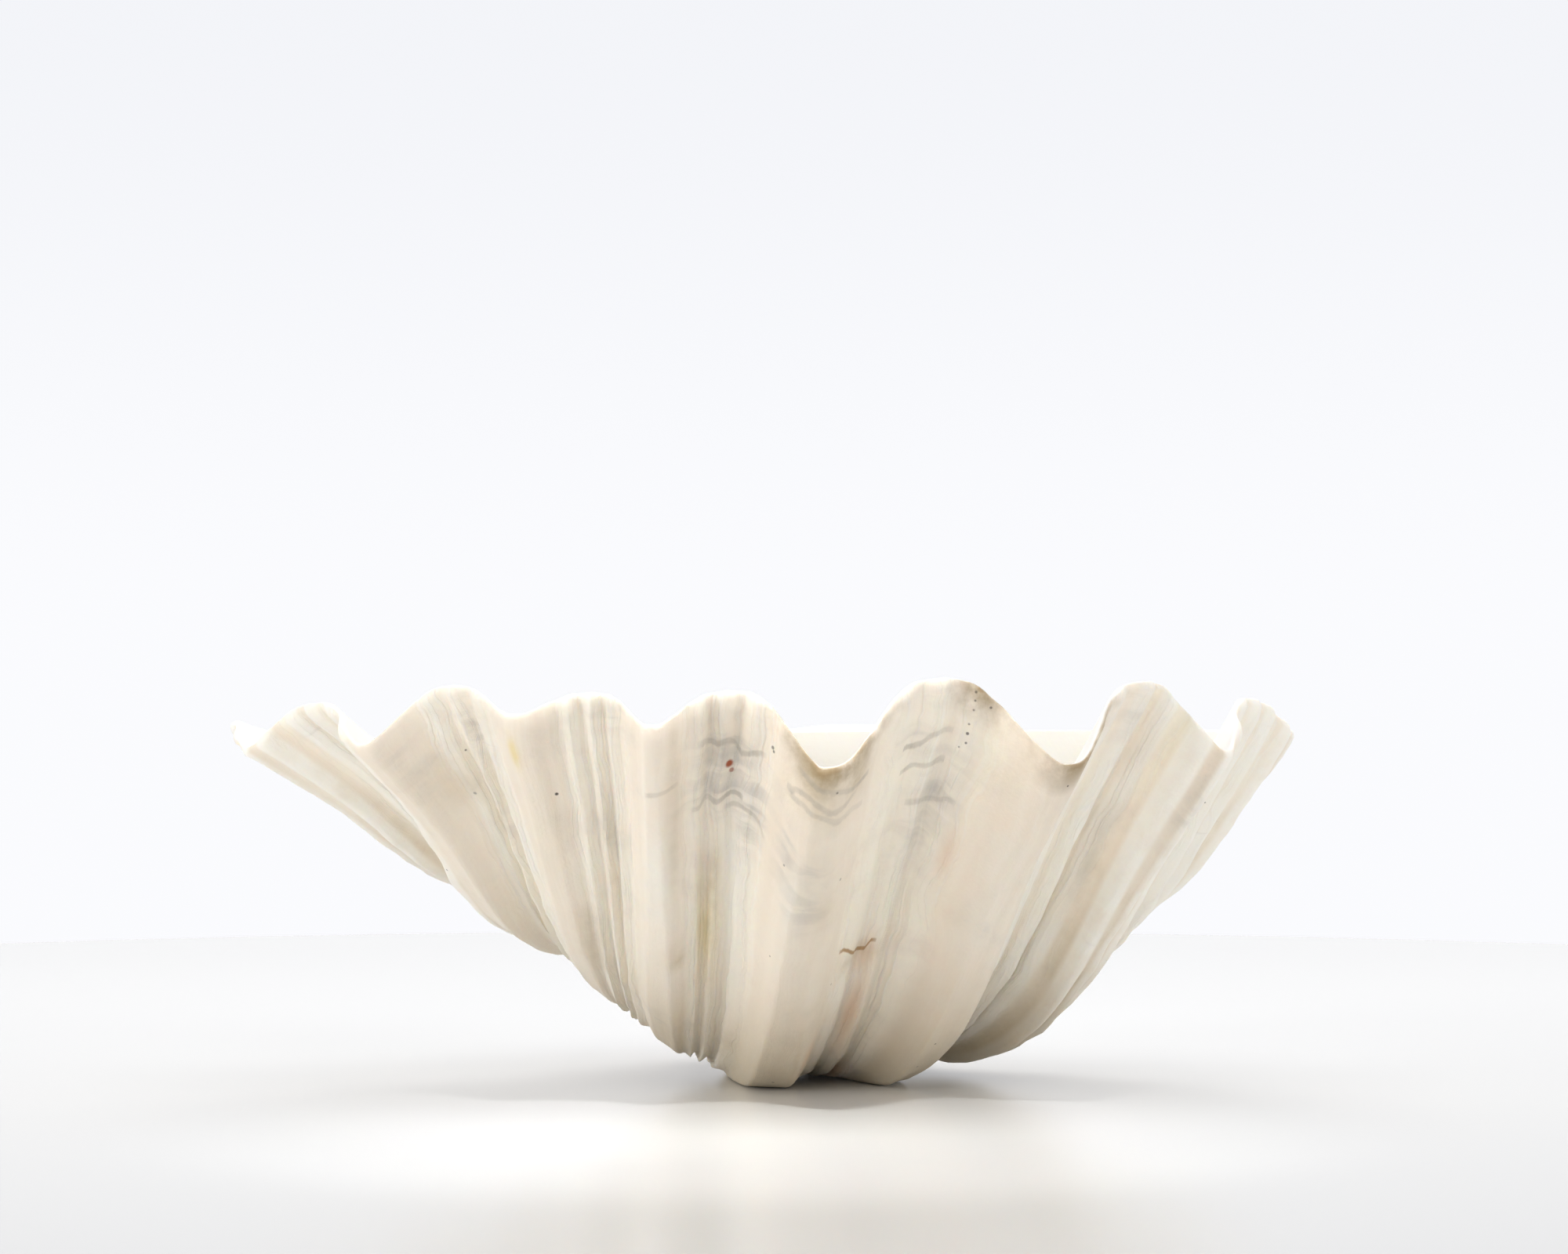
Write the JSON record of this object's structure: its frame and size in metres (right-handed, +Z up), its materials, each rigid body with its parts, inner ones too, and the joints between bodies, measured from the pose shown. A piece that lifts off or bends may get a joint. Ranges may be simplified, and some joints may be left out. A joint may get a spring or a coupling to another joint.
{
  "type": "giant clam shell",
  "caption": "Single valve of a giant clam shell, lying hollow side up on its ribbed outer face, with a wavy folded rim, a thick hinge plate and a hooked beak.",
  "frame": {"origin": "on the surface that the valve rests on, under the middle of its length and width", "axes": "+Z up, out of the hollow; X along the hinge line; -Y towards the wavy free rim, +Y towards the hinge and beak"},
  "size_m": [0.3, 0.2312, 0.1135],
  "materials": {
    "shell": "chalky warm white shell, matt outside, smoother and paler inside, with tan and grey growth marks"
  },
  "bodies": {
    "root": {"valve": "shell"}
  },
  "joints": []
}
